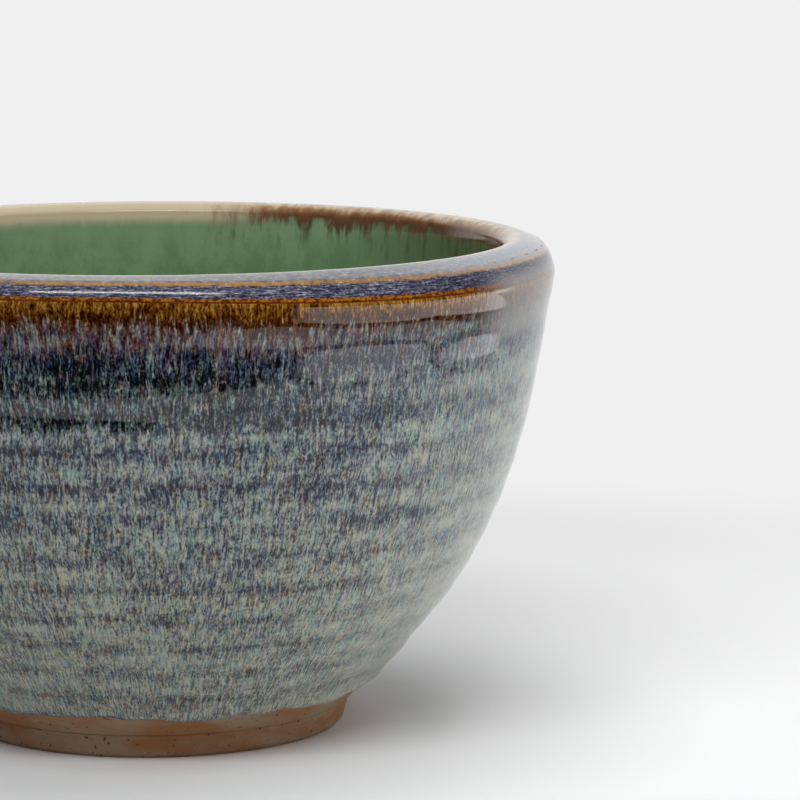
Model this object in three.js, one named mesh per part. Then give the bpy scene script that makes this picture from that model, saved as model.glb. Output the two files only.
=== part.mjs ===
// Water lily pot: a wide stoneware bowl that stands on a foot ring and holds water and a planted basket.
// Millimetres, +Z up, origin on the ground under the middle of the foot ring.
// The clay is a floor slab, a thrown wall, a thick lip and a foot ring, luted together with slip.
// Three glazes coat it: a green liner, a dark lip glaze and a streaked glaze outside.
import * as THREE from "three";

// The whole pot, measured over the glaze
const RIM_DIAMETER = 300; // across the widest part of the lip
const HEIGHT = 182.5; // from the ground to the crest of the lip

// Foot ring
const FOOT_DIAMETER = 146; // outside, where it meets the floor slab
const FOOT_HEIGHT = 9;
const FOOT_WIDTH = 15; // of the ring, where it meets the floor slab
const FOOT_TAPER = 2; // each side leans in by this much towards the ground
const FOOT_CHAMFER = 1.5; // turned off both edges that meet the ground

// Clay thicknesses
const WALL = 11;
const FLOOR = 13;
const LIP = 17.8;
const LIP_TAPER = 75; // drop below the widest part, over which the lip thins to the wall

// Outside curve, from the widest part of the lip down to the foot
const RIM_LEAN = 6.5; // degrees from upright at the lip
const FOOT_RISE = 43; // degrees above level at the foot
const UPPER_FULLNESS = 0.42; // share of the drop that the curve keeps its lean
const LOWER_FULLNESS = 0.43; // share of the drop that the curve keeps its rise

// Outline of the clay lip, in from its widest part and down from its crest
const WIDEST_DROP = 7.5;
const EDGE_IN = 0.3; // lower edge of the sloping band
const EDGE_DROP = 6.4;
const SHOULDER_IN = 3.4; // upper edge of the sloping band
const SHOULDER_DROP = 1.1;
const BAND_BULGE = 1; // how far the band's control point stands off its chord
const CREST_IN = 11.5;

// Rounded corner inside, where the wall meets the floor slab
const TOE_REACH = 24; // along the floor
const TOE_RISE = 16; // up the wall

// Joints between the clay pieces and the coats
const RIM_JOINT_DROP = 32.5; // crest to the joint between lip and wall
const LINER_DROP = 3.2; // crest to the line where the lip glaze meets the green liner
const GLAZE_STOP = 8; // bare clay left above the foot ring
const GLAZE = 1;
const BOND = 0.3; // clearance between a coat and the clay that it follows

// Smoothness
const SEGMENTS = 60; // round the pot
const WALL_STEPS = 9;
const LIP_STEPS = 3;
const TOE_STEPS = 3;

const coat = GLAZE + BOND;
const clayRadius = RIM_DIAMETER / 2 - coat;
const clayTop = HEIGHT - coat;
const footRadius = FOOT_DIAMETER / 2;
const floorTop = FOOT_HEIGHT + FLOOR;
const rimJoint = clayTop - RIM_JOINT_DROP;

const point = (radius, height) => new THREE.Vector2(radius, height);

// Outside of the clay, as a curve from the widest part of the lip to the foot
const widest = point(clayRadius, clayTop - WIDEST_DROP);
const heel = point(footRadius, FOOT_HEIGHT);
const drop = widest.y - heel.y;
const lean = THREE.MathUtils.degToRad(RIM_LEAN);
const rise = THREE.MathUtils.degToRad(FOOT_RISE);
const outside = new THREE.CubicBezierCurve(
  widest,
  point(-Math.sin(lean), -Math.cos(lean)).multiplyScalar(UPPER_FULLNESS * drop).add(widest),
  point(Math.cos(rise), Math.sin(rise)).multiplyScalar(LOWER_FULLNESS * drop).add(heel),
  heel,
);

// Inside of the clay: the outside curve moved in by the lip's thickness, thinning to the wall's
function inside(t) {
  const onOutside = outside.getPoint(t);
  const down = outside.getTangent(t);
  const thinned = THREE.MathUtils.smoothstep(widest.y - onOutside.y, 0, LIP_TAPER);
  const thickness = THREE.MathUtils.lerp(LIP, WALL, thinned);
  return onOutside.add(point(down.y, -down.x).multiplyScalar(thickness));
}

// Share of the way along a falling curve at which it reaches a height
function shareAt(curvePoint, height) {
  let above = 0;
  let below = 1;
  while (below - above > Number.EPSILON) {
    const middle = (above + below) / 2;
    if (curvePoint(middle).y > height) above = middle;
    else below = middle;
  }
  return below;
}

// Points along a curve between two shares of the way, both ends included
function along(curvePoint, from, to, steps) {
  return Array.from({ length: steps + 1 }, (_, i) => curvePoint(THREE.MathUtils.lerp(from, to, i / steps)));
}

// Clay line over the lip: band, sloping top and crest, then round to the inside
function lipLine() {
  const edge = point(clayRadius - EDGE_IN, clayTop - EDGE_DROP);
  const shoulder = point(clayRadius - SHOULDER_IN, clayTop - SHOULDER_DROP);
  const crest = point(clayRadius - CREST_IN, clayTop);
  const innerFace = inside(0);
  const chord = shoulder.clone().sub(edge).normalize();
  const bandControl = edge.clone().add(shoulder).divideScalar(2);
  bandControl.add(point(chord.y, -chord.x).multiplyScalar(BAND_BULGE));
  const topControl = point((shoulder.x + crest.x) / 2, clayTop);
  const path = new THREE.Path([widest.clone()]);
  path.lineTo(edge.x, edge.y);
  path.quadraticCurveTo(bandControl.x, bandControl.y, shoulder.x, shoulder.y);
  path.quadraticCurveTo(topControl.x, topControl.y, crest.x, crest.y);
  path.quadraticCurveTo(innerFace.x, clayTop, innerFace.x, innerFace.y);
  return path.getPoints(LIP_STEPS);
}

// Clay line inside: down the wall, then round the toe on to the flat floor
function insideLine() {
  const toeTop = shareAt(inside, floorTop + TOE_RISE);
  const corner = inside(shareAt(inside, floorTop));
  const start = inside(toeTop);
  const toe = new THREE.QuadraticBezierCurve(start, corner, point(corner.x - TOE_REACH, floorTop));
  return [...along(inside, 0, toeTop, WALL_STEPS), ...toe.getPoints(TOE_STEPS).slice(1)];
}

const outsideLine = along((t) => outside.getPoint(t), 1, 0, WALL_STEPS);
const insideClay = insideLine();
const clayLine = [...outsideLine, ...lipLine().slice(1, -1), ...insideClay, point(0, floorTop)];

// A line moved off the clay, with its corners kept at the full distance
function offClay(line, distance) {
  const normals = line.slice(1).map((p, i) => {
    const way = p.clone().sub(line[i]).normalize();
    return point(way.y, -way.x);
  });
  return line.map((p, i) => {
    const before = normals[Math.max(i - 1, 0)];
    const after = normals[Math.min(i, normals.length - 1)];
    const shift = before.clone().add(after).multiplyScalar(distance / (1 + before.dot(after)));
    return p.clone().add(shift);
  });
}

// The two sides of a line, parted at its highest point
function sides(line) {
  const crest = line.reduce((best, p, i) => (p.y > line[best].y ? i : best), 0);
  return { outer: line.slice(0, crest + 1), inner: line.slice(crest) };
}

// The stretch of a line between two heights, with a new point where it crosses either
function between(line, low, high) {
  const kept = [];
  line.forEach((p, i) => {
    const last = line[i - 1];
    if (last) {
      const levels = p.y > last.y ? [low, high] : [high, low];
      for (const level of levels) {
        const crosses = (last.y - level) * (p.y - level) < 0;
        if (crosses) kept.push(last.clone().lerp(p, (level - last.y) / (p.y - last.y)));
      }
    }
    if (p.y >= low && p.y <= high) kept.push(p);
  });
  return kept;
}

// A closed outline turned about the pot's axis, as one named piece
function turned(name, outline, finish) {
  const closed = outline[0].x > 0 ? [...outline, outline[0]] : outline;
  const geometry = new THREE.LatheGeometry(closed, SEGMENTS);
  geometry.rotateX(Math.PI / 2);
  const mesh = new THREE.Mesh(geometry, new THREE.MeshStandardMaterial({ ...finish, metalness: 0 }));
  mesh.name = name;
  return mesh;
}

const STONEWARE = { color: 0xb39c80, roughness: 0.85 };
const STREAKED_GLAZE = { color: 0x767b7c, roughness: 0.2 };
const INDIGO_GLAZE = { color: 0x3d3b45, roughness: 0.15 };
const GREEN_GLAZE = { color: 0x567a56, roughness: 0.2 };

// Clay pieces, from the ground up

const clay = sides(clayLine);

function footRing() {
  const inner = footRadius - FOOT_WIDTH;
  const outline = [
    point(inner, FOOT_HEIGHT),
    point(inner + FOOT_TAPER, FOOT_CHAMFER),
    point(inner + FOOT_TAPER + FOOT_CHAMFER, 0),
    point(footRadius - FOOT_TAPER - FOOT_CHAMFER, 0),
    point(footRadius - FOOT_TAPER, FOOT_CHAMFER),
    point(footRadius, FOOT_HEIGHT),
  ];
  return turned("foot_ring", outline, STONEWARE);
}

function floorSlab() {
  const edge = between(clay.outer, FOOT_HEIGHT, floorTop);
  return turned("floor_slab", [point(0, FOOT_HEIGHT), ...edge, point(0, floorTop)], STONEWARE);
}

function thrownWall() {
  const outer = between(clay.outer, floorTop, rimJoint);
  const inner = between(insideClay, floorTop, rimJoint);
  return turned("thrown_wall", [...outer, ...inner], STONEWARE);
}

function rimLip() {
  const outer = between(clay.outer, rimJoint, clayTop);
  const inner = between(clay.inner, rimJoint, clayTop).slice(1);
  return turned("rim_lip", [...outer, ...inner], STONEWARE);
}

// Glaze coats, each from its back on the clay to its face, parted on level seams

const back = sides(offClay(clayLine, BOND));
const face = sides(offClay(clayLine, coat));
const outerSeam = clayTop - EDGE_DROP;
const linerSeam = clayTop - LINER_DROP;

function outerGlaze() {
  const stop = FOOT_HEIGHT + GLAZE_STOP;
  const front = between(face.outer, stop, outerSeam);
  const rear = between(back.outer, stop, outerSeam).reverse();
  return turned("outer_glaze", [...front, ...rear], STREAKED_GLAZE);
}

function rimGlaze() {
  const over = ({ outer, inner }) => [
    ...between(outer, outerSeam, HEIGHT),
    ...between(inner, linerSeam, HEIGHT).slice(1),
  ];
  return turned("rim_glaze", [...over(face), ...over(back).reverse()], INDIGO_GLAZE);
}

function innerGlaze() {
  const rear = between(back.inner, floorTop, linerSeam).reverse();
  const front = between(face.inner, floorTop, linerSeam);
  return turned("inner_glaze", [...rear, ...front], GREEN_GLAZE);
}

const clayBody = new THREE.Group();
clayBody.add(footRing(), floorSlab(), thrownWall(), rimLip());

const glazeCoats = new THREE.Group();
glazeCoats.add(outerGlaze(), rimGlaze(), innerGlaze());

const pot = new THREE.Group();
pot.add(clayBody, glazeCoats);

export default pot;
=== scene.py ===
import math

import bmesh
import bpy
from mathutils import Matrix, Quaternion, Vector, noise
from mathutils.bvhtree import BVHTree
from mathutils.geometry import interpolate_bezier


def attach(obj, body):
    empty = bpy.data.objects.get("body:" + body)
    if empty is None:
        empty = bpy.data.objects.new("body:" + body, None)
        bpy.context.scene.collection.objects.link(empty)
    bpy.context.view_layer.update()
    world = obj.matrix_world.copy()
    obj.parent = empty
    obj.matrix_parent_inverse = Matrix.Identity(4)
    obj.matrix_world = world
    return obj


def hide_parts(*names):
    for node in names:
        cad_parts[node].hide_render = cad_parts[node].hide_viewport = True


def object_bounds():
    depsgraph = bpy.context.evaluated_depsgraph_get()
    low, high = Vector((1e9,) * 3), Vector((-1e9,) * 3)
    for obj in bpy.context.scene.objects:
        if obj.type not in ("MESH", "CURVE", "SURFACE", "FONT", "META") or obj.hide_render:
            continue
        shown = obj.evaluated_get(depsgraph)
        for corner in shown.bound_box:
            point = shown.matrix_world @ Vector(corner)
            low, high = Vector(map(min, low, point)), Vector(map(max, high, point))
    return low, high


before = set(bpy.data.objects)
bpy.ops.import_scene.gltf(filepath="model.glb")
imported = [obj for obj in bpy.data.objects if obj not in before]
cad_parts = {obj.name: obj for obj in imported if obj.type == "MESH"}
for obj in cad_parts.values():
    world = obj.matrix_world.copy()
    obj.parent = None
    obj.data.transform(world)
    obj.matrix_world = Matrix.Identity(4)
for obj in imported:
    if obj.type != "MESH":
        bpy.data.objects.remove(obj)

cad_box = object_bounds()
pot_top = cad_box[1][2]


# Foot ring
# The ring of bare stoneware that the pot stands on. It is turned from a coil luted under the floor,
# and left without glaze so that the pot doesn't stick to the kiln shelf.

mm = 0.001
ROUND_STEPS = 256
TOUCHING = 0.001 * mm
FOOT_ROUNDING = 0.6 * mm
FOOT_CORNER = math.radians(25)


def half_section(node):
    """A turned CAD node's outline on its +X side: points (radius, 0, height) in order round it."""
    bm = bmesh.new()
    bm.from_mesh(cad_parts[node].data)
    bmesh.ops.remove_doubles(bm, verts=bm.verts, dist=TOUCHING)
    off_side = [v for v in bm.verts if abs(v.co.y) > TOUCHING or v.co.x < -TOUCHING]
    bmesh.ops.delete(bm, geom=off_side, context="VERTS")
    ends = [v for v in bm.verts if len(v.link_edges) == 1]
    vert = ends[0] if ends else bm.verts[:][0]
    order = [vert]
    while True:
        beside = [e.other_vert(vert) for e in vert.link_edges]
        fresh = [v for v in beside if v not in order]
        if not fresh:
            break
        vert = fresh[0]
        order.append(vert)
    points = [Vector((v.co.x, 0, v.co.z)) for v in order]
    bm.free()
    return points


def turned(outline, lengths=None, corners=()):
    """A mesh turned from an outline, with the way down the pot kept as the point attribute 'run'."""
    bm = bmesh.new()
    run = bm.verts.layers.float_vector.new("run")
    corner = bm.verts.layers.int.new("corner")
    verts = [bm.verts.new(p) for p in outline]
    for i, vert in enumerate(verts):
        vert[run] = (0, 0, lengths[i] if lengths else vert.co.z)
        vert[corner] = i in corners
    for a, b in zip(verts, verts[1:]):
        bm.edges.new((a, b))
    if outline[0].x > 0:
        bm.edges.new((verts[-1], verts[0]))
    bmesh.ops.spin(bm, geom=bm.verts[:] + bm.edges[:], cent=(0, 0, 0), axis=(0, 0, 1), angle=math.tau,
                   steps=ROUND_STEPS, use_merge=True)
    bmesh.ops.remove_doubles(bm, verts=bm.verts, dist=TOUCHING)
    bmesh.ops.recalc_face_normals(bm, faces=bm.faces)
    for edge in bm.edges:
        edge.smooth = not (edge.verts[0][corner] and edge.verts[1][corner])
    for face in bm.faces:
        face.smooth = True
    return bm, run


def piece(name, bm, node):
    """The finished mesh as a piece of the pot that stands for a CAD node."""
    mesh = bpy.data.meshes.new(name)
    bm.to_mesh(mesh)
    bm.free()
    made = bpy.data.objects.new(name, mesh)
    bpy.context.scene.collection.objects.link(made)
    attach(made, "root")
    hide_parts(node)
    return made


class Wire:
    """One output of a material's nodes: arithmetic on it adds Math nodes."""

    def __init__(self, tree, socket):
        self.tree = tree
        self.socket = socket

    def node(self, kind, settings=None, inputs=None, output=0):
        made = self.tree.nodes.new(kind)
        for name, value in (settings or {}).items():
            if name == "stops":
                ramp = made.color_ramp
                while len(ramp.elements) < len(value):
                    ramp.elements.new(1)
                for element, (position, color) in zip(ramp.elements, value):
                    element.position = position
                    element.color = (*color, 1)
            else:
                setattr(made, name, value)
        for name, value in (inputs or {}).items():
            if isinstance(value, Wire):
                self.tree.links.new(value.socket, made.inputs[name])
            else:
                made.inputs[name].default_value = value
        return Wire(self.tree, made.outputs[output])

    def math(self, operation, a, b):
        return self.node("ShaderNodeMath", {"operation": operation}, {0: a, 1: b})

    def __add__(self, other):
        return self.math("ADD", self, other)

    def __sub__(self, other):
        return self.math("SUBTRACT", self, other)

    def __mul__(self, other):
        return self.math("MULTIPLY", self, other)

    def __rsub__(self, other):
        return self.math("SUBTRACT", other, self)

    __radd__ = __add__
    __rmul__ = __mul__

    def axis(self, name):
        """One coordinate of this vector: X, Y or Z."""
        return self.node("ShaderNodeSeparateXYZ", None, {0: self}, name)

    def rise(self, low, high):
        """0 below low, 1 above high, and smooth between them; low may be the higher of the two."""
        return self.node("ShaderNodeMapRange", {"interpolation_type": "SMOOTHSTEP"},
                         {"Value": self, "From Min": low, "From Max": high})

    def blend(self, a, b):
        """Colour a where this is 0 and colour b where it is 1."""
        colors = {i: c if isinstance(c, Wire) else (*c, 1) for i, c in ((6, a), (7, b))}
        return self.node("ShaderNodeMix", {"data_type": "RGBA"}, {0: self, **colors}, 2)

    def tinted(self, color, tint):
        """A colour as it is where this is 0, and multiplied by a tint where it is 1."""
        return self.node("ShaderNodeMix", {"data_type": "RGBA", "blend_type": "MULTIPLY"},
                         {0: self, 6: color, 7: (*tint, 1)}, 2)

    def specks(self, across, along, detail=2, roughness=0.5, output=0):
        """Noise on this vector, with cells across wide round the pot and along long down it."""
        cells = (1 / across, 1 / across, 1 / along)
        scaled = self.node("ShaderNodeVectorMath", {"operation": "MULTIPLY"}, {0: self, 1: cells})
        return self.node("ShaderNodeTexNoise", None,
                         {"Vector": scaled, "Scale": 1, "Detail": detail, "Roughness": roughness}, output)


def new_material(name):
    """A node material with its Principled shader, and wires to Object coordinates and to 'run'."""
    made = bpy.data.materials.new(name)
    made.use_nodes = True
    tree = made.node_tree
    shader = tree.nodes["Principled BSDF"]
    place = tree.nodes.new("ShaderNodeTexCoord")
    attribute = tree.nodes.new("ShaderNodeAttribute")
    attribute.attribute_name = "run"
    return made, shader, Wire(tree, place.outputs["Object"]), Wire(tree, attribute.outputs["Vector"])


def feed(shader, wires, relief):
    """Links colour, roughness and height to a shader; relief is the height's depth in metres."""
    tree = shader.id_data
    tree.links.new(wires["color"].socket, shader.inputs["Base Color"])
    tree.links.new(wires["roughness"].socket, shader.inputs["Roughness"])
    bump = wires["height"].node("ShaderNodeBump", None, {"Distance": relief, "Height": wires["height"]})
    tree.links.new(bump.socket, shader.inputs["Normal"])


CLAY_BUFF = (0.36, 0.25, 0.155)
CLAY_FLASHED = (0.33, 0.15, 0.06)
CLAY_SPECK = (0.07, 0.035, 0.018)
CLAY_SHADE = (0.772, 0.76, 0.748)

# Width round the pot and length down it of each kind of mark in the clay
FLASHING = (30 * mm, 12 * mm)
GRIT = (0.7 * mm, 0.7 * mm)
IRON_SPECKS = (1.6 * mm, 1.6 * mm)
TOOL_LINES = (60 * mm, 0.8 * mm)
CLAY_RELIEF = 0.25 * mm


def stoneware():
    """Bare fired clay: buff, flashed orange in places, with iron specks and a gritty face."""
    made, shader, place, _ = new_material("bare_stoneware")
    flashing = place.specks(*FLASHING, 3).rise(0.42, 0.62)
    grit = place.specks(*GRIT, 3, 0.6)
    iron = place.specks(*IRON_SPECKS, 1).rise(0.68, 0.74)
    turning = place.specks(*TOOL_LINES, 2)
    shaded = (0.7 * grit + 0.3 * turning).rise(0.8, 0.2)
    body = shaded.tinted(flashing.blend(CLAY_BUFF, CLAY_FLASHED), CLAY_SHADE)
    feed(shader, {"color": iron.blend(body, CLAY_SPECK), "roughness": 0.78 + 0.16 * grit,
                  "height": 0.6 * grit + 0.4 * turning}, CLAY_RELIEF)
    return made


bare_clay = stoneware()

bm, _ = turned(half_section("foot_ring"))
sharp = [e for e in bm.edges if e.is_manifold and e.calc_face_angle(0) > FOOT_CORNER]
bmesh.ops.bevel(bm, geom=sharp, offset=FOOT_ROUNDING, segments=3, profile=0.5, affect="EDGES", material=-1)
for face in bm.faces:
    face.smooth = True
foot = piece("turned_foot_ring", bm, "foot_ring")
foot.data.materials.append(bare_clay)


# Floor slab
# The round slab of stoneware that closes the bottom, rolled out and luted to the wall.
# Its underside and lower edge are bare, with the spiral that the turning tool leaves.

SLAB_STEP = 0.8 * mm
TURNING_PITCH = 4 * mm
TURNING_DEPTH = 0.35 * mm
TURNING_MARGIN = 2 * mm


def filled(points, step):
    """The same line with new points added, so that none lie more than a step apart."""
    line = [points[0]]
    for a, b in zip(points, points[1:]):
        count = max(1, math.ceil((b - a).length / step))
        line += [a.lerp(b, i / count) for i in range(1, count + 1)]
    return line


slab_outline = half_section("floor_slab")
if slab_outline[0].z > slab_outline[-1].z:
    slab_outline.reverse()
slab_bottom = slab_outline[0].z
spiral_end = slab_outline[1].x - TURNING_MARGIN
under = filled(slab_outline[:2], SLAB_STEP)
edge = filled(slab_outline[1:-1], SLAB_STEP)
bm, _ = turned(under + edge[1:] + slab_outline[-1:], corners=(len(under) - 1, len(under) + len(edge) - 2))
for vert in bm.verts:
    radius = math.hypot(vert.co.x, vert.co.y)
    if vert.co.z < slab_bottom + TOUCHING and radius < spiral_end:
        turn = radius / TURNING_PITCH - math.atan2(vert.co.y, vert.co.x) / math.tau
        cut = 0.5 - 0.5 * math.cos(math.tau * turn)
        vert.co.z += TURNING_DEPTH * cut * min(1, radius / (2 * TURNING_PITCH))
slab = piece("turned_floor_slab", bm, "floor_slab")
slab.data.materials.append(bare_clay)


# Wall and lip
# The wall is thrown in one pull and the thick lip is folded over and compressed on top of it.
# Both are stoneware, covered by the three glazes, so the CAD solids stay as they are.

for name in ("thrown_wall", "rim_lip"):
    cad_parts[name].data.materials.clear()
    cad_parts[name].data.materials.append(bare_clay)


# Outer glaze
# A runny glaze of wood ash over iron, poured on the outside and melted down the wall in fine pale runs.
# It breaks amber and brown under the lip, and stops short of the foot in a thick rolled edge.

WALL_STEP = 1.1 * mm
LIP_STEP = 0.6 * mm
LINER_STEP = 1.6 * mm

clay_trees = []
for name in ("foot_ring", "floor_slab", "thrown_wall", "rim_lip"):
    clay_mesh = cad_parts[name].data
    clay_trees.append(BVHTree.FromPolygons([v.co for v in clay_mesh.vertices],
                                           [p.vertices for p in clay_mesh.polygons]))


def coat_sides(node, start):
    """A coat's face and back as lines of points; the face begins at its end nearest to start."""
    loop = half_section(node)
    gaps = [min(tree.find_nearest(p)[3] for tree in clay_trees) for p in loop]
    middle = (min(gaps) + max(gaps)) / 2
    first = next(i for i in range(len(loop)) if gaps[i] > middle >= gaps[i - 1])
    loop = loop[first:] + loop[:first]
    count = sum(gap > middle for gap in gaps)
    face, back = loop[:count], loop[count:]
    if (face[0] - start).length > (face[-1] - start).length:
        face.reverse()
        back.reverse()
    return face, back


def eased(points, step_at):
    """Smooth spans through the points, one list for each gap, with points about a step apart."""
    gaps = [b - a for a, b in zip(points, points[1:])]
    ways = [gap.normalized() for gap in gaps]
    tangents, reaches = [ways[0]], [(0, gaps[0].length)]
    for a, b, way_a, way_b in zip(gaps, gaps[1:], ways, ways[1:]):
        near_a, near_b = min(a.length, 2 * b.length), min(b.length, 2 * a.length)
        tangents.append((way_a * near_b + way_b * near_a) / (near_a + near_b))
        reaches.append((near_a, near_b))
    tangents.append(ways[-1])
    reaches.append((gaps[-1].length, 0))
    spans = []
    for i, gap in enumerate(gaps):
        count = max(2, math.ceil(gap.length / step_at(i)) + 1)
        leaving = points[i] + tangents[i] * reaches[i][1] / 3
        arriving = points[i + 1] - tangents[i + 1] * reaches[i + 1][0] / 3
        spans.append(interpolate_bezier(points[i], leaving, arriving, points[i + 1], count))
    return spans


def joined(some_spans):
    return [some_spans[0][0]] + [p for span in some_spans for p in span[1:]]


outer_face, outer_back = coat_sides("outer_glaze", Vector((0, 0, 0)))
rim_face, rim_back = coat_sides("rim_glaze", outer_face[-1])
liner_face, liner_back = coat_sides("inner_glaze", rim_face[-1])
rim_first = len(outer_face) - 1
liner_first = rim_first + len(rim_face) - 1


def coat_step(i):
    if i < rim_first:
        return WALL_STEP
    return LIP_STEP if i < liner_first else LINER_STEP


spans = eased(outer_face + rim_face[1:] + liner_face[1:], coat_step)
outer_line = joined(spans[:rim_first])
rim_line = joined(spans[rim_first:liner_first])
liner_line = joined(spans[liner_first:])


def run_lengths(line, start):
    """Distance down the glaze from a start value, at each point of a line."""
    lengths = [start]
    for a, b in zip(line, line[1:]):
        lengths.append(lengths[-1] + (b - a).length)
    return lengths


# The way down the pot counts from just inside the crest, and is negative on the liner
LIP_EDGE = 20.5 * mm

rim_lengths = [LIP_EDGE - length for length in run_lengths(rim_line, 0)]
crest_run = rim_lengths[max(range(len(rim_line)), key=lambda i: rim_line[i].z)]
outer_lengths = run_lengths(outer_line[::-1], LIP_EDGE)[::-1]
liner_run = rim_lengths[-1]
liner_lengths = [-length for length in run_lengths(liner_line, -liner_run)]
glaze_stop = outer_lengths[0]


def smooth_step(low, high, value):
    share = min(1, max(0, (value - low) / (high - low)))
    return share * share * (3 - 2 * share)


# The lip's outer edge sags on the +X side; each pair says where that is nothing and where it is full
SAG = 3.6 * mm
SAG_SIDE = (-10 * mm, 115 * mm)
SAG_FROM = (3 * mm, 23 * mm)
SAG_TO = (80 * mm, 36 * mm)
PATTERN_RADIUS = 140 * mm


def sag(across, length):
    """How much lower the edge of the lip lies on one side, with the glaze that it takes down with it."""
    along = smooth_step(*SAG_FROM, length) * smooth_step(*SAG_TO, length)
    return SAG * smooth_step(*SAG_SIDE, across) * along


def coat(line, lengths, back):
    """A coat of glaze turned from its face and its back, with its pattern wound round the pot.

    Each point of the back sags as the nearest point of the face does."""
    outline = line + back
    nearest = [min(range(len(line)), key=lambda i: (line[i] - p).length) for p in back]
    all_lengths = lengths + [lengths[i] for i in nearest]
    ends = (0, len(line) - 1, len(line), len(outline) - 1) if back[-1].x > 0 else (0, len(outline) - 1)
    bm, run = turned(outline, all_lengths, ends)
    for vert in bm.verts:
        length = vert[run].z
        angle = math.atan2(vert.co.y, vert.co.x)
        across = PATTERN_RADIUS * math.cos(angle)
        vert[run] = (across, PATTERN_RADIUS * math.sin(angle), length)
        vert.co.z = min(vert.co.z, pot_top) - sag(across, length)
    bm.normal_update()
    return bm, run


# The thrown wall's hollows: way down the pot and height off its true curve, in millimetres
THROWN_WALL = [(0, 0), (20, 0), (24, -0.02), (27, -0.1), (30, -0.27), (34, -0.52), (37, -0.68), (40, -0.77),
               (44, -0.82), (49, -0.77), (54, -0.7), (58, -0.71), (61, -0.69), (63, -0.61), (67, -0.35),
               (71, -0.14), (76, 0.03), (83, 0.15), (92, 0.25), (112, 0.5), (135, 0.65), (150, 0.5),
               (170, -0.45), (186, 0), (230, 0), (260, 0)]
LEVEL_FROM = (27 * mm, 38 * mm)
RING_PITCH = 13.6 * mm
RING_AT = 67.6 * mm
RING_FROM = (66 * mm, 90 * mm)
RING_END = 12 * mm
RING_HEIGHT = 0.055 * mm
LOW_RING_HEIGHT = 0.16 * mm
LOW_RING_FROM = (80 * mm, 120 * mm)
RING_WANDER = 25 * mm
ROLL_WIDTH = 5 * mm
ROLL_HEIGHT = 0.7 * mm
STOP_WAVE = 1.6 * mm
STOP_WAVE_REACH = 14 * mm


def wall_throw(length):
    """How far the hand-thrown wall stands off its true curve, at a distance down the pot."""
    keys = [(s * mm, h * mm) for s, h in THROWN_WALL]
    i = next(k for k in range(1, len(keys) - 2) if length < keys[k + 1][0])
    (s_0, h_0), (s_1, h_1), (s_2, h_2), (s_3, h_3) = keys[i - 1:i + 3]
    share = max(0, (length - s_1) / (s_2 - s_1))
    slope_1 = (h_2 - h_0) / (s_2 - s_0) * (s_2 - s_1)
    slope_2 = (h_3 - h_1) / (s_3 - s_1) * (s_2 - s_1)
    ease = smooth_step(0, 1, share)
    between = h_1 * (1 - ease) + h_2 * ease
    return between + slope_1 * share * (1 - share) ** 2 - slope_2 * share ** 2 * (1 - share)


def throwing_ring(length, angle):
    """The spiral of finger rings, from -1 in a groove to 1 on a ridge."""
    side = Vector((math.cos(angle), math.sin(angle), 0))
    uneven = noise.noise(side * 1.2 + Vector((0, 0, length / RING_WANDER)))
    turn = (length - RING_AT) / RING_PITCH - (angle + math.pi / 2) / math.tau
    return math.cos(math.tau * turn + 0.6 * uneven) * (0.85 + 0.4 * uneven)


bm, run = coat(outer_line, outer_lengths, outer_back)
ridge = bm.verts.layers.float.new("ridge")
moves = {}
for vert in bm.verts:
    length = vert[run].z
    above_stop = glaze_stop - length
    angle = math.atan2(vert.co.y, vert.co.x)
    side = Vector((math.cos(angle), math.sin(angle), 0))
    vert[ridge] = throwing_ring(length, angle)
    fade = smooth_step(*RING_FROM, length) * smooth_step(0, RING_END, above_stop)
    height = RING_HEIGHT + (LOW_RING_HEIGHT - RING_HEIGHT) * smooth_step(*LOW_RING_FROM, length)
    roll = ROLL_HEIGHT * math.exp(-((above_stop - ROLL_WIDTH / 2) / (ROLL_WIDTH / 2)) ** 2)
    level_length = length + sag(vert[run].x, length) * smooth_step(*LEVEL_FROM, length)
    relief = height * vert[ridge] * fade + wall_throw(level_length) + roll
    moves[vert] = vert.normal * relief if vert.normal.dot(side) > 0 else Vector()
    wave = STOP_WAVE * (noise.noise(side * 2.5) + 0.5 * noise.noise(side * 9))
    moves[vert].z += wave * smooth_step(STOP_WAVE_REACH, 0, above_stop)
for vert, move in moves.items():
    vert.co += move
outer = piece("ash_run_glaze", bm, "outer_glaze")

# Colours from bare dark glaze to thick pale ash, by the level of ash, and the same where iron shows
TONE_RANGE = 3
RUN_TONES = [(-3, (0.003, 0.004, 0.008)), (-2.3, (0.014, 0.021, 0.036)), (-1.7, (0.034, 0.044, 0.066)),
             (-1.2, (0.058, 0.074, 0.100)), (-0.6, (0.104, 0.126, 0.142)), (0, (0.165, 0.190, 0.192)),
             (0.6, (0.232, 0.262, 0.247)), (1.2, (0.297, 0.322, 0.290)), (2, (0.375, 0.40, 0.35)),
             (3, (0.45, 0.46, 0.40))]
IRON_TONES = [(-3, (0.018, 0.003, 0.0004)), (-2, (0.033, 0.007, 0.001)), (-1, (0.076, 0.021, 0.002)),
              (0, (0.150, 0.052, 0.005)), (1, (0.262, 0.116, 0.014)), (2, (0.37, 0.20, 0.04)),
              (3, (0.44, 0.28, 0.08))]

# Way down the pot in millimetres, and how much more or less ash lies there
LEVEL_RANGE = 2.5
RUN_LEVEL = [(20.4, 0.6), (22.5, 0.2), (24.5, -0.8), (27.5, -1.2), (30, -1.2), (33, -1.1), (36, -1.2),
             (39, -1.8), (42, -2.2), (50, -2.1), (54, -1.6), (57, -1.35), (61, -1.9), (66, -1.3),
             (70, -0.15), (84, -0.3), (100, -0.15), (120, 0.1), (132, 0.45), (150, 0.45), (165, 0.45),
             (195, 0.35)]
GLAZE_SPAN = 200 * mm

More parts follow.
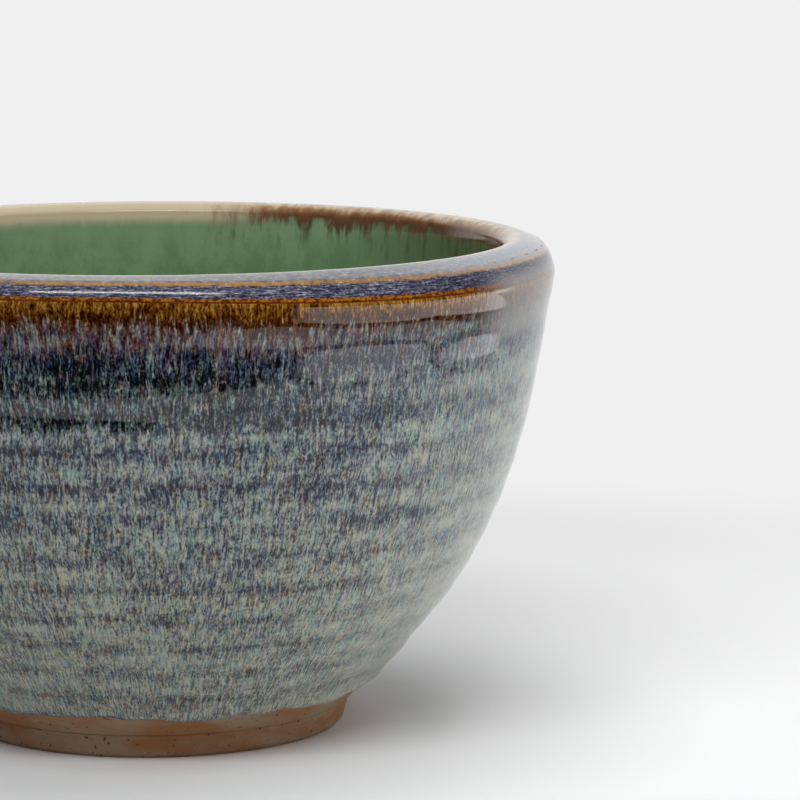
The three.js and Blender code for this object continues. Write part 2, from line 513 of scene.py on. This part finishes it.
# Width round the pot and length down it of each kind of mark in the glaze
STROKES = (1.05 * mm, 4.8 * mm)
GRAIN = (0.6 * mm, 1.2 * mm)
POOLS = (17 * mm, 3.8 * mm)
CLOUDS = (28 * mm, 18 * mm)
HAIRS = (2 * mm, 17 * mm)
DRIPS = (1.5 * mm, 11 * mm)
PATCHES = (22 * mm, 6 * mm)
HUES = (5 * mm, 7 * mm)
RUST_SPOTS = (11 * mm, 3 * mm)
LEANS = (2.4 * mm, 6 * mm)
TONGUES = (9 * mm, 25 * mm)
BENDS = (6.7 * mm, 9 * mm)
BEND_REACH = (2.4 * mm, 2.4 * mm, 1.2 * mm)

# Zones down the pot, each from where it is nothing to where it is full
WALL_FROM = (60 * mm, 75 * mm)
DARK_FROM = (24 * mm, 30 * mm)
DARK_TO = (66 * mm, 54 * mm)
WARM_TO = (44 * mm, 34 * mm)
LIVELY_FROM = (55 * mm, 68 * mm)
LIVELY_TO = (150 * mm, 130 * mm)
OLIVE_FROM = (38 * mm, 50 * mm)
OLIVE_TO = (72 * mm, 62 * mm)
CREAM_FROM = (75 * mm, 140 * mm)
HAIRS_FROM = (23 * mm, 29 * mm)
IRON_TO = (35 * mm, 26 * mm)

# Round the pot towards +X the dark zone fades and the runs get paler
# The paler, flatter runs towards +X are partly more ash and partly painted light of the brighter lit side
DARK_FADE = (10 * mm, 105 * mm)
FADE_FROM = (38 * mm, 48 * mm)
ASH_AND_PAINTED_LIGHT_SIDE = (70 * mm, 135 * mm)
ASH_AND_PAINTED_LIGHT_FROM = (36 * mm, 48 * mm)
# Under the lip on that side a painted reflection washes the glaze out: a pale grey veil
PAINTED_VEIL_SIDE = (108 * mm, 126 * mm)
PAINTED_VEIL = (0.31, 0.305, 0.30)

MAUVE_TINT = (1.5, 0.92, 1.0)
TEAL_TINT = (0.82, 1.06, 1.04)
RUST_TINT = (1.35, 0.96, 0.75)
UMBER_TINT = (1.6, 0.95, 0.85)
OLIVE_TINT = (1, 1.02, 0.76)
CREAM_TINT = (1.13, 1.0, 0.84)
BLUE_TINT = (0.88, 0.98, 1.14)
BROWN_TINT = (1.3, 0.97, 0.78)
NAVY_TINT = (0.78, 0.98, 1.22)
GLAZE_IOR = 1.5
RUN_RELIEF = 0.003 * mm


def ash_runs():
    """Fine pale ash runs over dark iron glaze, amber and brown under the lip and palest towards the foot."""
    made, shader, _, run = new_material("ash_run_glaze")
    ridge = run.node("ShaderNodeAttribute", {"attribute_name": "ridge"}, None, "Fac")
    length, across = run.axis("Z"), run.axis("X")
    bend = run.specks(*BENDS, 1, output="Color")
    bent = run.node("ShaderNodeVectorMath", {"operation": "MULTIPLY_ADD"}, {0: bend, 1: BEND_REACH, 2: run})
    strokes = bent.specks(*STROKES, 2, 0.55) - 0.5
    grain = bent.specks(*GRAIN, 2) - 0.5
    pools = run.specks(*POOLS, 3, 0.6) - 0.5
    clouds = run.specks(*CLOUDS, 3, 0.55) - 0.5
    lines = bent.specks(*HAIRS, 1) - 0.5
    hairs = lines.math("ABSOLUTE", lines, 0).rise(0.022, 0.005)
    drips = bent.specks(*DRIPS, 2, 0.6) - 0.5

    def by_length(stops):
        down = (length + 7 * mm * drips + 5 * mm * clouds) * (1 / GLAZE_SPAN)
        marks = [(s * mm / GLAZE_SPAN, ((v + LEVEL_RANGE) / (2 * LEVEL_RANGE),) * 3) for s, v in stops]
        share = down.node("ShaderNodeValToRGB", {"stops": marks}, {"Fac": down})
        return share * (2 * LEVEL_RANGE) - LEVEL_RANGE

    wall = length.rise(*WALL_FROM)
    dark_zone = length.rise(*DARK_FROM) * length.rise(*DARK_TO)
    warm_zone = length.rise(*WARM_TO)
    lively = length.rise(*LIVELY_FROM) * length.rise(*LIVELY_TO)
    faded = across.rise(*DARK_FADE)
    fade = faded * (0.25 + 0.75 * length.rise(*FADE_FROM))
    # Partly painted light: the runs get paler and flatter towards +X, for more ash and for the brighter lit
    # side
    side = across.rise(*ASH_AND_PAINTED_LIGHT_SIDE) * (0.2 + 0.8 * length.rise(*ASH_AND_PAINTED_LIGHT_FROM))
    patches = run.specks(*PATCHES, 3, 0.6).rise(0.42, 0.6)
    grooves = (0.4 * ridge - 0.8 * patches * ridge.rise(-0.3, -0.95)) * wall
    level = 8.6 * strokes + 7.2 * grain + 2.5 * clouds + (3.4 + 1.2 * wall) * pools + grooves + 0.9 * hairs
    level = (1 + 0.15 * lively - (0.05 + 0.3 * warm_zone) * dark_zone) * level
    level = level + (4.2 * drips + 0.9 * hairs + 1.2 * fade) * dark_zone
    level = (level + by_length(RUN_LEVEL)) * (1 - 0.35 * side) + side
    share = (level + TONE_RANGE) * (1 / (2 * TONE_RANGE))

    def by_level(stops):
        marks = [((v + TONE_RANGE) / (2 * TONE_RANGE), c) for v, c in stops]
        return share.node("ShaderNodeValToRGB", {"stops": marks}, {"Fac": share})

    dark = share.rise(0.52, 0.32)
    hue = run.specks(*HUES, 3, 0.6)
    rust = run.specks(*RUST_SPOTS, 3, 0.6).rise(0.55, 0.68)
    lean = bent.specks(*LEANS, 2, 0.6) - 0.53 + 0.09 * length.rise(*CREAM_FROM) + 0.07 * warm_zone
    cream, blue = lean.rise(0, 0.2), lean.rise(0, -0.2)
    olive = length.rise(*OLIVE_FROM) * length.rise(*OLIVE_TO) * (1 - faded)
    ash = by_level(RUN_TONES)
    ash = (dark * hue.rise(0.52, 0.62)).tinted(ash, MAUVE_TINT)
    ash = (0.8 * hue.rise(0.47, 0.37)).tinted(ash, TEAL_TINT)
    ash = (dark * rust * wall).tinted(ash, RUST_TINT)
    ash = cream.tinted(ash, CREAM_TINT)
    ash = ((0.5 + 0.5 * dark) * blue).tinted(ash, BLUE_TINT)
    ash = (dark * cream).tinted(ash, BROWN_TINT)
    ash = (dark * blue).tinted(ash, NAVY_TINT)
    ash = ((0.05 + 0.95 * dark) * warm_zone * (1 - 0.8 * faded)).tinted(ash, UMBER_TINT)
    ash = (dark * olive).tinted(ash, OLIVE_TINT)

    hairy = 12 * mm * share.rise(0.4, 0.85) * length.rise(*HAIRS_FROM)
    tongues = 9 * mm * (run.specks(*TONGUES, 2) - 0.5)
    iron = (length + 9 * mm * drips + tongues + hairy).rise(*IRON_TO)
    color = iron.blend(ash, by_level(IRON_TONES))
    # Painted reflection: a pale grey veil over the glaze under the lip towards +X
    color = (0.6 * across.rise(*PAINTED_VEIL_SIDE) * warm_zone).blend(color, PAINTED_VEIL)
    feed(shader, {"color": color, "roughness": 0.03 + 0.05 * share, "height": strokes}, RUN_RELIEF)
    shader.inputs["IOR"].default_value = GLAZE_IOR
    return made


outer.data.materials.append(ash_runs())


# Lip glaze
# An iron glaze brushed over the lip. It is thin and amber on the two edges, pools indigo on the band
# between them, and runs over the crest a short way down the inside. Its outer edge sags on one side.

bm, run = coat(rim_line, rim_lengths, rim_back)
rim = piece("iron_lip_glaze", bm, "rim_glaze")

LIP_SMOKE = (0.11, 0.11, 0.125)
LIP_TOP = (0.20, 0.195, 0.195)
LIP_INDIGO = (0.026, 0.024, 0.047)
LIP_MIST = (0.125, 0.125, 0.17)
LIP_DASH = (0.40, 0.43, 0.51)
LIP_ORANGE = (0.42, 0.20, 0.035)
LIP_AMBER = (0.44, 0.16, 0.016)
LIP_RED = (0.09, 0.018, 0.004)
LIP_CREAM = (0.51, 0.43, 0.295)
LIP_TAN = (0.36, 0.25, 0.16)
LIP_RUSSET = (0.22, 0.10, 0.045)
LIP_BROWN = (0.10, 0.05, 0.027)

# Width round the pot and length down it of each kind of mark
DROPS = (3.4 * mm, 13 * mm)
BLOTCHES = (4.5 * mm, 5 * mm)
WAVERS = (4 * mm, 4 * mm)
DASHES = (4.5 * mm, 0.42 * mm)
FLECKS = (1.1 * mm, 0.6 * mm)
MOTTLE = (2.2 * mm, 1.6 * mm)

# Way down the pot where each stretch of the lip begins or ends
UPPER_EDGE_FROM = (12.6 * mm, 13.3 * mm)
UPPER_EDGE_TO = (14.8 * mm, 14.1 * mm)
BAND_FROM = (13.7 * mm, 14.5 * mm)
BAND_PAINTED_VEIL_FROM = (15 * mm, 19 * mm)
LOWER_EDGE_FROM = (18.5 * mm, 19.2 * mm)
RED_LINE_FROM = (19.7 * mm, 20.1 * mm)
INSIDE_FROM = (crest_run + 0.4 * mm, crest_run - 1.6 * mm)
BROWN_FROM = (crest_run - 1 * mm, liner_run - 5 * mm)

# Round the pot towards +X the lip drips inside, and is plainer outside, with a painted reflection paling its
# top
DRIP_SIDE = (10 * mm, 50 * mm)
PLAIN_AND_SHEEN_SIDE = (70 * mm, 125 * mm)
LIP_RELIEF = 0.001 * mm


def lip_drips(run):
    """Wires for the drips from the lip: their noise, and how far round to the dripping side."""
    drops = run.specks(*DROPS, 3, 0.6)
    return drops, (run.axis("X") + 60 * mm * (drops - 0.5)).rise(*DRIP_SIDE)


def lip_inside(run, drops, dripped):
    """Colour inside the lip: cream on one side, and tan to dark brown on the other, where it drips."""
    blotches = run.specks(*BLOTCHES, 3, 0.55)
    down = (run.axis("Z") + 9 * mm * (0.6 * drops + 0.4 * blotches - 0.5)).rise(*BROWN_FROM)
    tone = blotches.rise(0.38, 0.62).blend(LIP_TAN, LIP_CREAM)
    tone = down.rise(0.05, 0.5).blend(tone, LIP_RUSSET)
    return dripped.blend(LIP_CREAM, (0.85 * down.rise(0.35, 0.8)).blend(tone, LIP_BROWN))


def iron_lip():
    """Amber edges, an indigo band with fine light dashes, and an inner edge that is cream or brown."""
    made, shader, _, run = new_material("iron_lip_glaze")
    length, across = run.axis("Z"), run.axis("X")
    waver = run.specks(*WAVERS, 3, 0.6)
    down = length + 1.2 * mm * (waver - 0.5)
    dashes = run.specks(*DASHES, 3, 0.6)
    flecks = run.specks(*FLECKS, 2, 0.6)
    mottle = run.specks(*MOTTLE, 3, 0.6)
    plain_and_sheen = across.rise(*PLAIN_AND_SHEEN_SIDE)

    top = (0.5 * mottle + 0.5 * dashes).rise(0.4, 0.6).blend(LIP_SMOKE, LIP_TOP)
    top = (0.7 * (0.6 * mottle + 0.4 * flecks).rise(0.58, 0.68)).blend(top, LIP_DASH)
    top = (0.6 * (0.5 * waver + 0.5 * flecks).rise(0.58, 0.68)).blend(top, LIP_TAN)
    # Painted reflection: the lip's top is paler towards +X
    top = (0.35 * plain_and_sheen).blend(top, LIP_DASH)
    band = (0.55 * dashes + 0.45 * flecks).rise(0.42, 0.56).blend(LIP_INDIGO, LIP_MIST)
    band = (0.6 * plain_and_sheen).blend(band, LIP_INDIGO)
    band = ((0.9 - 0.6 * plain_and_sheen) * (0.6 * dashes + 0.4 * flecks).rise(0.53, 0.66)).blend(band, LIP_DASH)
    color = down.rise(*BAND_FROM).blend(top, band)

    spotted = 0.5 * flecks + 0.5 * mottle
    upper_edge = down.rise(*UPPER_EDGE_FROM) * down.rise(*UPPER_EDGE_TO) * spotted.rise(0.36, 0.52)
    orange = (0.6 * flecks + 0.4 * mottle).rise(0.54, 0.68).blend(LIP_ORANGE, LIP_CREAM)
    color = ((0.8 - 0.3 * plain_and_sheen) * upper_edge).blend(color, orange)
    lower_edge = (down + 0.9 * mm * (flecks - 0.5)).rise(*LOWER_EDGE_FROM)
    amber = ((1 - 0.4 * plain_and_sheen) * spotted.rise(0.42, 0.6)).blend(LIP_RED, LIP_AMBER)
    color = lower_edge.blend(color, amber)
    color = (0.8 * length.rise(*RED_LINE_FROM)).blend(color, LIP_RED)
    # Painted reflection: the same pale grey veil over the lip band towards +X
    color = (0.6 * across.rise(*PAINTED_VEIL_SIDE) * down.rise(*BAND_PAINTED_VEIL_FROM)).blend(color, PAINTED_VEIL)

    drops, dripped = lip_drips(run)
    inner = (length + 1.5 * mm * (drops - 0.5)).rise(*INSIDE_FROM)
    color = inner.blend(color, lip_inside(run, drops, dripped))
    feed(shader, {"color": color, "roughness": 0.07 + 0.08 * dashes, "height": dashes}, LIP_RELIEF)
    shader.inputs["IOR"].default_value = GLAZE_IOR
    return made


rim.data.materials.append(iron_lip())


# Green liner
# A clear copper-green glaze, poured inside and swilled round, thin near the lip and deeper on the floor.
# Iron from the lip has run down into its upper edge in dark drips, and faint finger rings show through it.

LINER_RING_HEIGHT = 0.12 * mm
LINER_RING_FROM = (-20 * mm, -45 * mm)
LINER_RING_RADIUS = (12 * mm, 30 * mm)

bm, run = coat(liner_line, liner_lengths, liner_back)
moves = {}
for vert in bm.verts:
    length = vert[run].z
    radius = math.hypot(vert.co.x, vert.co.y)
    fade = smooth_step(*LINER_RING_FROM, length) * smooth_step(*LINER_RING_RADIUS, radius)
    ring = throwing_ring(length, math.atan2(vert.co.y, vert.co.x))
    inward = vert.normal.z > 0 or vert.normal.dot(vert.co) < 0
    moves[vert] = vert.normal * LINER_RING_HEIGHT * ring * fade if inward else Vector()
for vert, move in moves.items():
    vert.co += move
liner = piece("green_liner_glaze", bm, "inner_glaze")

LINER_PALE = (0.22, 0.335, 0.195)
LINER_GREEN = (0.19, 0.305, 0.16)
LINER_DEEP = (0.13, 0.23, 0.112)
LINER_STAIN_AND_SHADE = (0.08, 0.1, 0.048)
LINER_STREAK = (0.045, 0.045, 0.02)
LINER_CLOUDS = (9 * mm, 14 * mm)
LINER_GRAIN = (1.2 * mm, 1.2 * mm)
THIN_FROM = (-32 * mm, -4 * mm)
POOLED_HEIGHT = (60 * mm, 25 * mm)
STAIN_AND_SHADE_SIDE = (60 * mm, 125 * mm)
STAIN_AND_SHADE_FROM = (-60 * mm, -12 * mm)
STREAKED_FROM = (-22 * mm, -5 * mm)
LIP_RUN_FROM = (liner_run - 5.5 * mm, liner_run)
LINER_RELIEF = 0.02 * mm


def green_liner():
    """Clear green, thin and pale near the lip and clouded below, with drips from the lip on one side."""
    made, shader, place, run = new_material("green_liner_glaze")
    length = run.axis("Z")
    clouds = place.specks(*LINER_CLOUDS, 3, 0.6)
    grain = place.specks(*LINER_GRAIN, 3, 0.6)
    color = (0.7 * clouds + 0.3 * grain).rise(0.38, 0.62).blend(LINER_DEEP, LINER_GREEN)
    thin = (length + 10 * mm * (clouds - 0.5)).rise(*THIN_FROM)
    color = (0.75 * thin).blend(color, LINER_PALE)
    color = (0.6 * place.axis("Z").rise(*POOLED_HEIGHT)).blend(color, LINER_DEEP)
    drops, dripped = lip_drips(run)
    # Iron stain and painted shade: towards +X the upper inner wall is darker and olive, fading lower down
    stain_and_shade = run.axis("X").rise(*STAIN_AND_SHADE_SIDE) * (length + 20 * mm * (clouds - 0.5)).rise(*STAIN_AND_SHADE_FROM)
    color = (0.8 * stain_and_shade).blend(color, LINER_STAIN_AND_SHADE)
    streaks = dripped * drops.rise(0.46, 0.7) * (length + 16 * mm * (drops - 0.5)).rise(*STREAKED_FROM)
    color = (0.75 * streaks).blend(color, LINER_STREAK)
    reach = length + 14 * mm * (drops - 0.5) * (0.2 + 0.8 * dripped)
    color = reach.rise(*LIP_RUN_FROM).blend(color, lip_inside(run, drops, dripped))
    feed(shader, {"color": color, "roughness": 0.06 + 0.05 * grain, "height": clouds}, LINER_RELIEF)
    return made


liner.data.materials.append(green_liner())


# Studio
# A white table with a round front and white paper laid behind the pot, in a white room with soft lamps.
# The table has painted shade in front of the pot, the room is dark behind the camera, and the glaze mirrors
# both.

TABLE_MIDDLE = (0.05, 0.10, 0)
TABLE_RADIUS = 0.52
TABLE_STEPS = 128
TABLE_RIGHT = 0.50
TABLE_CORNER = (0.275, -0.37, 0)
TABLE_CORNER_WAY = (0.776, -0.631, 0)
PAPER_LEFT = -1.5
PAPER_RIGHT = 1.65
PAPER_FRONT = 0.30
PAPER_BACK = 4.0

bm = bmesh.new()
bmesh.ops.create_circle(bm, cap_ends=True, radius=TABLE_RADIUS, segments=TABLE_STEPS)
bmesh.ops.translate(bm, verts=bm.verts, vec=TABLE_MIDDLE)
table_cuts = [((0, PAPER_FRONT, 0), (0, 1, 0)), (TABLE_CORNER, TABLE_CORNER_WAY),
              ((TABLE_RIGHT, 0, 0), (1, 0, 0))]
for spot, outward in table_cuts:
    bmesh.ops.bisect_plane(bm, geom=bm.verts[:] + bm.edges[:] + bm.faces[:], plane_co=spot, plane_no=outward,
                           clear_outer=True)
front_edge = [bm.verts.new((x, PAPER_FRONT, 0)) for x in (PAPER_LEFT, PAPER_RIGHT)]
drawn = bmesh.ops.extrude_edge_only(bm, edges=[bm.edges.new(front_edge)])
back_edge = [v for v in drawn["geom"] if isinstance(v, bmesh.types.BMVert)]
bmesh.ops.translate(bm, verts=back_edge, vec=(0, PAPER_BACK - PAPER_FRONT, 0))
bmesh.ops.recalc_face_normals(bm, faces=bm.faces)
sheet_mesh = bpy.data.meshes.new("paper_sheet")
bm.to_mesh(sheet_mesh)
bm.free()
sheet = bpy.data.objects.new("paper_sheet", sheet_mesh)
bpy.context.scene.collection.objects.link(sheet)

PAPER_SHADED = (0.875, 0.875, 0.88)
PAPER_LIT = (0.90, 0.90, 0.905)
# Painted shade: the colour of the table just in front of the pot
PAPER_PAINTED_SHADE = (0.60, 0.60, 0.605)
FIBRES = (3 * mm, 3 * mm)
PAPER_RELIEF = 0.02 * mm
PAINTED_SHADE_FRONT = (-0.12, -0.22)
PAINTED_SHADE_REACH = (0.42, 0.32)
FAR_WHITE = (0.87, 0.87, 0.872)
FAR_FROM_POT = (0.38, 0.6)
SEEN_RAYS = ("Is Camera Ray", "Is Glossy Ray", "Is Transmission Ray")

paper, shader, place, _ = new_material("white_paper")
fibre = place.specks(*FIBRES, 3)
from_pot = place.node("ShaderNodeVectorMath", {"operation": "LENGTH"}, {0: place}, "Value")
# Painted shade: the table is darker in front of the pot, within about 0.4 m of it
painted_shade = place.axis("Y").rise(*PAINTED_SHADE_FRONT) * from_pot.rise(*PAINTED_SHADE_REACH)
feed(shader, {"color": painted_shade.blend(fibre.blend(PAPER_SHADED, PAPER_LIT), PAPER_PAINTED_SHADE),
              "roughness": 0.85 + 0.1 * fibre, "height": fibre}, PAPER_RELIEF)
away = from_pot.rise(*FAR_FROM_POT)
seen = sum(place.node("ShaderNodeLightPath", output=ray) for ray in SEEN_RAYS)
white = place.node("ShaderNodeEmission", None, {"Color": (*FAR_WHITE, 1)})
near = Wire(place.tree, shader.outputs[0])
mixed = place.node("ShaderNodeMixShader", None, {0: away * seen, 1: near, 2: white})
place.tree.links.new(mixed.socket, place.tree.nodes["Material Output"].inputs["Surface"])
sheet.data.materials.append(paper)


def lamp(name, place, aim, size, radiance, roll=0, mirrored=True, end=None):
    """A flat soft lamp at a place, facing a point, that looks radiance times as bright as white.

    Its light rises from nothing to full between the two shares of its width that end gives."""
    light = bpy.data.lights.new(name, "AREA")
    light.shape = "RECTANGLE"
    light.size, light.size_y = size
    light.energy = radiance * math.pi * size[0] * size[1]
    if end:
        light.use_nodes = True
        tree = light.node_tree
        spot = Wire(tree, tree.nodes.new("ShaderNodeNewGeometry").outputs["Parametric"])
        glow = spot.axis("X").rise(*end).blend((0, 0, 0), (1, 1, 1))
        tree.links.new(glow.socket, tree.nodes["Emission"].inputs["Color"])
    made = bpy.data.objects.new(name, light)
    made.location = place
    facing = (Vector(aim) - Vector(place)).to_track_quat("-Z", "Y")
    made.rotation_euler = (facing @ Quaternion((0, 0, 1), math.radians(roll))).to_euler()
    made.visible_camera = False
    made.visible_glossy = mirrored
    bpy.context.scene.collection.objects.link(made)


lamp("front_strip", place=(-0.08, -1.15, 1.4), aim=(0, 0, 0.12), size=(1.4, 0.16), radiance=13)
lamp("right_panel", place=(0.95, 0.2, 0.053), aim=(0, 0.2, 0.053), size=(0.75, 0.38), radiance=2.1, roll=2,
     end=(1, 0.75))
lamp("front_panel", place=(0.95, -0.65, -0.118), aim=(0, -0.65, -0.118), size=(1.1, 0.38), radiance=1.85,
     roll=15.6, end=(0, 0.3))
lamp("front_fill", place=(-0.1, -0.9, 1.2), aim=(0, 0, 0.05), size=(0.8, 0.8), radiance=2.8, mirrored=False)
lamp("top_fill", place=(0.1, 0.1, 1.5), aim=(0.1, 0.1, 0), size=(0.9, 0.9), radiance=4.2, mirrored=False)
lamp("right_fill", place=(0.8, 0.1, 0.75), aim=(0.4, 0, 0), size=(0.5, 0.5), radiance=1.8, mirrored=False)

ROOM_LIGHT = (0.16, 0.16, 0.165)
ROOM_DARK = (0.012, 0.012, 0.013)
WHITE_BEHIND = (0.35, 0.6)

world = bpy.data.worlds.new("white_room")
world.use_nodes = True
tree = world.node_tree
toward = Wire(tree, tree.nodes.new("ShaderNodeTexCoord").outputs["Generated"])
behind_pot = toward.axis("Y").rise(*WHITE_BEHIND)
camera_ray, glossy_ray, clear_ray = (toward.node("ShaderNodeLightPath", output=ray) for ray in SEEN_RAYS)
room = (glossy_ray + clear_ray).blend(ROOM_LIGHT, behind_pot.blend(ROOM_DARK, FAR_WHITE))
tree.links.new(camera_ray.blend(room, FAR_WHITE).socket, tree.nodes["Background"].inputs["Color"])
bpy.context.scene.world = world
bpy.context.scene.view_settings.view_transform = "Standard"


# Camera
# A long lens in front of the pot and a little to its right.
# It stands about 15 cm higher than the lip and looks slightly down.

PICTURE_SIDE = 800
FOCAL_PIXELS = 4000
SENSOR = 36
CAMERA_RIGHT = 92.4 * mm
CAMERA_BACK = 1481 * mm
CAMERA_OVER_LIP = 148.2 * mm
CAMERA_PITCH = math.radians(8.075)

lens = bpy.data.cameras.new("long_lens")
lens.sensor_width = SENSOR
lens.lens = FOCAL_PIXELS * SENSOR / PICTURE_SIDE
camera = bpy.data.objects.new("camera", lens)
camera.location = (CAMERA_RIGHT, -CAMERA_BACK, pot_top + CAMERA_OVER_LIP)
camera.rotation_euler = (math.pi / 2 - CAMERA_PITCH, 0, 0)
bpy.context.scene.collection.objects.link(camera)
bpy.context.scene.camera = camera
